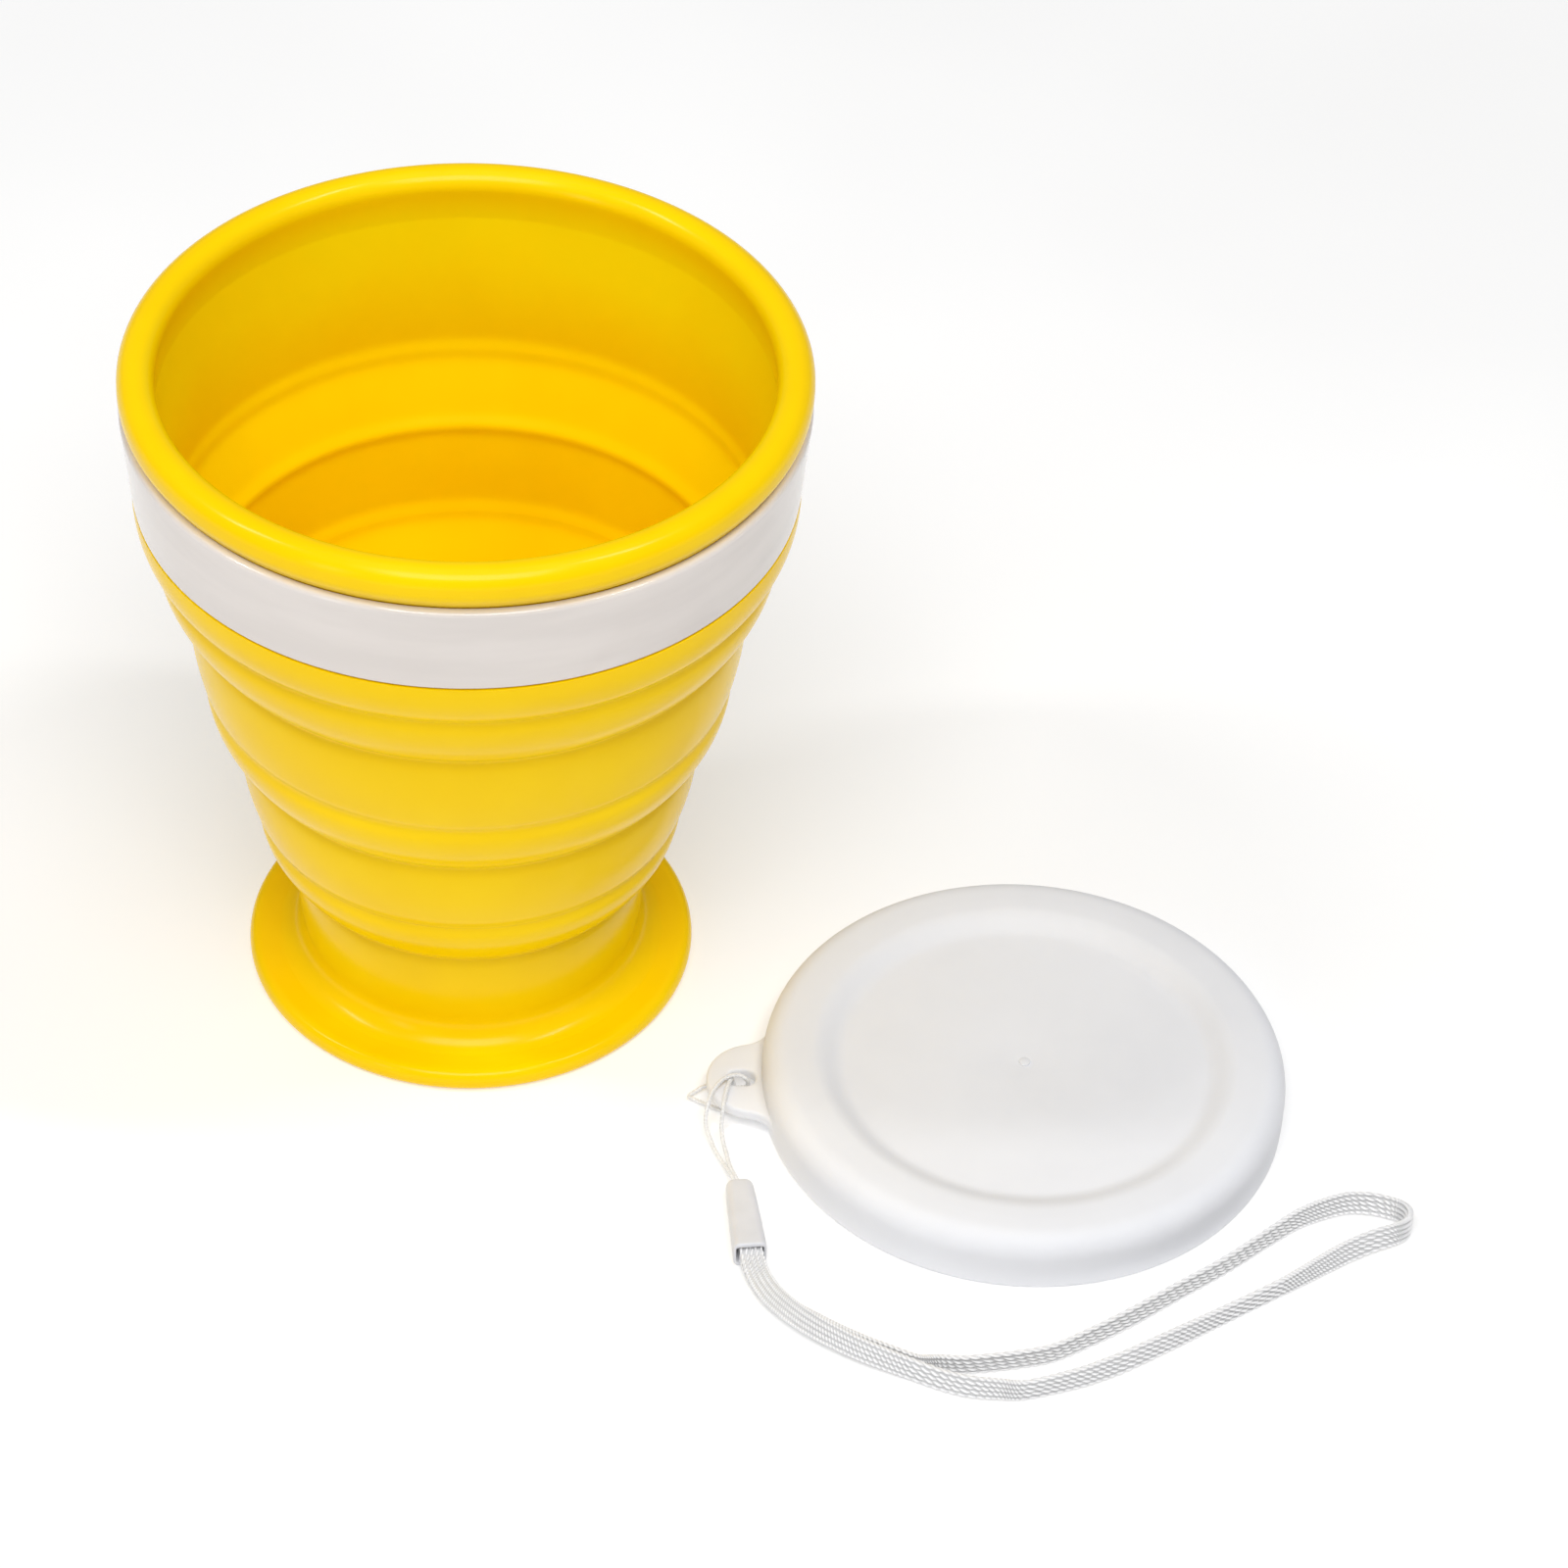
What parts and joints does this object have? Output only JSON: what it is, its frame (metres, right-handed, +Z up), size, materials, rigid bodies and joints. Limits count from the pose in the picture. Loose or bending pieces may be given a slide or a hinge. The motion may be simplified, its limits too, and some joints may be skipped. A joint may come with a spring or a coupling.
{
  "type": "collapsible travel cup",
  "caption": "A folding silicone drinking cup of stiff tiers joined by thin webs, with a hard band below its rim, and beside it a shallow round lid on a braided wrist strap.",
  "frame": {"origin": "on the cup's axis, at the underside of the foot", "axes": "+X to the right, towards the lid; +Y away from the viewer; +Z up, along the cup's axis"},
  "size_m": [0.166, 0.1211, 0.0971],
  "materials": {
    "silicone": "soft satin, slightly translucent",
    "white_plastic": "glossy moulded",
    "frosted_plastic": "fine frosted, slightly translucent",
    "clip_plastic": "satin moulded",
    "white_cord": "braided nylon"
  },
  "bodies": {
    "foot": {"foot": "silicone"},
    "lower_tier": {"lower_web": "silicone", "lower_tier": "silicone"},
    "middle_tier": {"middle_web": "silicone", "middle_tier": "silicone"},
    "top_tier": {"upper_web": "silicone", "top_tier": "silicone", "rim_band": "white_plastic"},
    "lid": {"lid": "frosted_plastic", "string_loop": "white_cord", "strap_clip": "clip_plastic", "wrist_strap": "white_cord"}
  },
  "joints": [
    {"name": "lower_fold", "type": "slide", "parent": "foot", "child": "lower_tier", "axis": [0, 0, -1], "range_m": [0, 0.02], "deforming": ["lower_web"]},
    {"name": "middle_fold", "type": "slide", "parent": "lower_tier", "child": "middle_tier", "axis": [0, 0, -1], "range_m": [0, 0.02], "deforming": ["middle_web"]},
    {"name": "upper_fold", "type": "slide", "parent": "middle_tier", "child": "top_tier", "axis": [0, 0, -1], "range_m": [0, 0.02], "deforming": ["upper_web"]},
    {"name": "lid_lift", "type": "slide", "parent": "foot", "child": "lid", "axis": [0.28, 0, 0.96], "range_m": [0, 0.12]}
  ]
}
